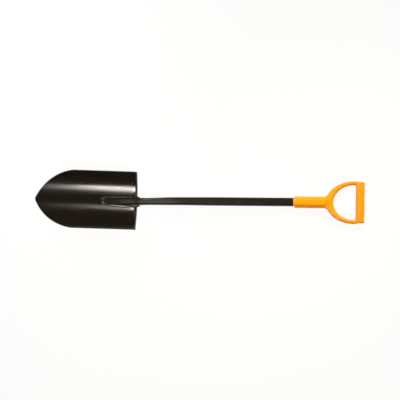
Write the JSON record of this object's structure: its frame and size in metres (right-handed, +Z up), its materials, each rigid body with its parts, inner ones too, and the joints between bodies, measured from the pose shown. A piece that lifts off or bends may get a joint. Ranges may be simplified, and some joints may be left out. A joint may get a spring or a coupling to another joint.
{
  "type": "digging spade",
  "caption": "Pointed steel digging spade with a dished blade, a turned-back tread, a bent tubular shaft and a D-shaped plastic handle.",
  "frame": {"origin": "on the floor under the middle of the spade, which lies on its back on the tread's rim and the grip", "axes": "+X from the blade's tip towards the handle, +Y across the blade to the user's left when the tip points away, +Z up, out of the hollow front of the blade"},
  "size_m": [1.1704, 0.209, 0.1099],
  "materials": {
    "blade_paint": "glossy warm black paint on steel sheet",
    "shaft_paint": "semi-gloss warm black paint on steel tube",
    "weld_paint": "black paint over weld bead",
    "handle_plastic": "satin orange moulded plastic",
    "grip_plastic": "satin orange moulded plastic",
    "rivet_metal": "plain",
    "mandrel_steel": "plain"
  },
  "bodies": {
    "root": {"blade": "blade_paint", "shaft_tube": "shaft_paint", "weld_nose": "weld_paint", "weld_side_left": "weld_paint", "weld_side_right": "weld_paint", "weld_heel_left": "weld_paint", "weld_heel_right": "weld_paint", "handle_frame": "handle_plastic", "grip_shell": "grip_plastic", "handle_rivet": "rivet_metal", "rivet_mandrel": "mandrel_steel"}
  },
  "joints": []
}
